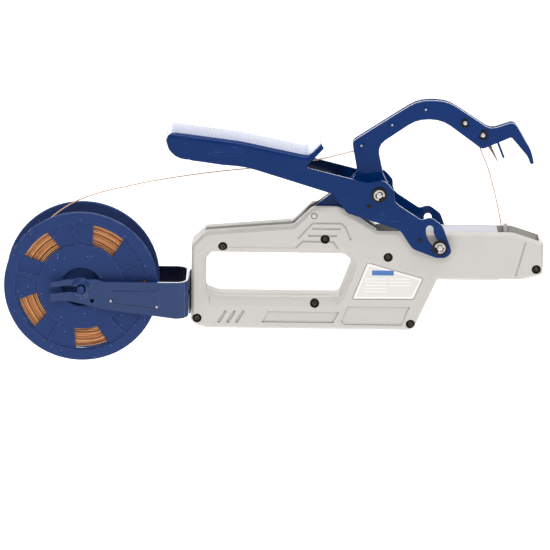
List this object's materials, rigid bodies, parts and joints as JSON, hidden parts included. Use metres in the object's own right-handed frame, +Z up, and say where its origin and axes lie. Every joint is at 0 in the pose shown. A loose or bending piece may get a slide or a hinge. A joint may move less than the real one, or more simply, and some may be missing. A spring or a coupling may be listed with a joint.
{
  "type": "electric vine tying tool",
  "caption": "Hand-held vine tying tool: wire reel on a forked bracket, D-handle housing, squeeze lever and curved hook that carries the wire to a motor-driven twister.",
  "frame": {"origin": "middle of the housing's flat underside below the handle, on the tool's mid-plane", "axes": "+X along the tool towards its nose, +Y from the near side to the far side, +Z up"},
  "size_m": [0.3836, 0.0512, 0.1913],
  "materials": {
    "black_plastic": "black moulded plastic",
    "black_rubber": "black rubber",
    "black_steel": "black oxide steel",
    "blue_paint": "glossy dark blue enamel",
    "bracket_paint": "satin slate blue enamel",
    "bright_steel": "bright ground steel",
    "bronze_steel": "dark bronzed steel",
    "cell_wrap": "blue cell wrap",
    "copper_paint": "nickel plated steel can",
    "green_board": "green circuit board",
    "grey_plastic": "warm light grey moulded plastic",
    "pale_steel": "pale brushed steel sheet",
    "paper_wire": "tan paper-covered wire",
    "reel_plastic": "speckled blue moulded plastic",
    "sticker": "bare satin label stock",
    "white_nylon": "natural nylon"
  },
  "bodies": {
    "housing": {"housing_near": "grey_plastic", "housing_far": "grey_plastic", "housing_screw_1": "black_steel", "housing_screw_2": "black_steel", "housing_screw_3": "black_steel", "housing_screw_4": "black_steel", "housing_screw_5": "black_steel", "housing_screw_6": "black_steel", "housing_screw_7": "black_steel", "rating_label": "sticker", "nose_cover": "pale_steel", "wire_gripper": "bright_steel", "hook_pivot_pin": "bright_steel", "guide_pin": "bright_steel", "guide_washer_near": "black_steel", "guide_washer_far": "black_steel", "guide_clip": "bright_steel", "spring_post": "bright_steel", "return_spring": "bronze_steel", "reel_bracket": "bracket_paint", "bracket_pad": "black_rubber", "bracket_bolt": "bright_steel", "spindle_bearing_1": "bronze_steel", "spindle_bearing_2": "bronze_steel", "idler_pin": "bright_steel", "motor": "copper_paint", "battery_pack": "cell_wrap", "circuit_board": "green_board", "start_switch": "black_plastic", "wire_feed": "paper_wire", "wire_tail": "paper_wire"},
    "hook_arm": {"hook_plate_near": "blue_paint", "hook_plate_far": "blue_paint", "hook_rivet_1": "bright_steel", "hook_rivet_2": "bright_steel", "hook_rivet_3": "bright_steel", "spring_anchor": "bright_steel", "hook_pivot_bush": "bronze_steel", "roller_pin_1": "bronze_steel", "roller_pin_2": "bronze_steel", "roller_clip_1": "bronze_steel", "roller_clip_2": "bronze_steel", "needle": "bronze_steel", "wire_in_hook": "paper_wire"},
    "lever_arm": {"lever": "blue_paint", "lever_pin": "bright_steel", "lever_washer_near": "black_steel", "lever_washer_far": "black_steel", "lever_clip": "bright_steel"},
    "reel": {"reel_half_near": "reel_plastic", "reel_half_far": "reel_plastic", "wire_pack": "paper_wire", "wire_winding": "paper_wire"},
    "roller_1": {"guide_roller_1": "bright_steel"},
    "roller_2": {"guide_roller_2": "bright_steel"},
    "motor_shaft": {"motor_pinion": "bronze_steel"},
    "idler": {"idler_gear": "white_nylon"},
    "spindle": {"twister_spindle": "bright_steel"},
    "plunger": {"switch_plunger": "white_nylon"}
  },
  "joints": [
    {"name": "hook_close", "type": "hinge", "parent": "housing", "child": "hook_arm", "pos_m": [0.02716, 0, 0.0846], "axis": [0, 1, 0], "range_deg": [0, 26], "stiffness_Nm_per_rad": 0.8, "springref_deg": -57.3, "deforming": ["return_spring", "wire_feed", "wire_tail"]},
    {"name": "lever_squeeze", "type": "hinge", "parent": "hook_arm", "child": "lever_arm", "pos_m": [0.07266, 0, 0.1022], "axis": [0, 1, 0], "range_deg": [-38.5, 0]},
    {"name": "reel_spin", "type": "hinge", "parent": "housing", "child": "reel", "pos_m": [-0.138, 0, 0.0312], "axis": [0, 1, 0], "continuous": true},
    {"name": "roller_1_spin", "type": "hinge", "parent": "hook_arm", "child": "roller_1", "pos_m": [0.13264, 0, 0.15183], "axis": [0, 1, 0], "continuous": true},
    {"name": "roller_2_spin", "type": "hinge", "parent": "hook_arm", "child": "roller_2", "pos_m": [0.1455, 0, 0.14321], "axis": [0, 1, 0], "continuous": true},
    {"name": "motor_spin", "type": "hinge", "parent": "housing", "child": "motor_shaft", "pos_m": [0.098, 0, 0.03348], "axis": [1, 0, 0], "continuous": true},
    {"name": "idler_spin", "type": "hinge", "parent": "housing", "child": "idler", "pos_m": [0.098, 0, 0.04473], "axis": [1, 0, 0], "continuous": true},
    {"name": "spindle_spin", "type": "hinge", "parent": "housing", "child": "spindle", "pos_m": [0.098, 0, 0.05598], "axis": [1, 0, 0], "continuous": true},
    {"name": "switch_press", "type": "slide", "parent": "housing", "child": "plunger", "axis": [0, 0, -1], "range_m": [0, 0.0012], "stiffness_N_per_m": 50, "springref_m": -0.002}
  ],
  "couplings": [
    {"joint": "lever_squeeze", "follows": "hook_close", "ratio": -1.473},
    {"joint": "idler_spin", "follows": "spindle_spin", "ratio": -0.5},
    {"joint": "motor_spin", "follows": "spindle_spin", "ratio": 1}
  ]
}
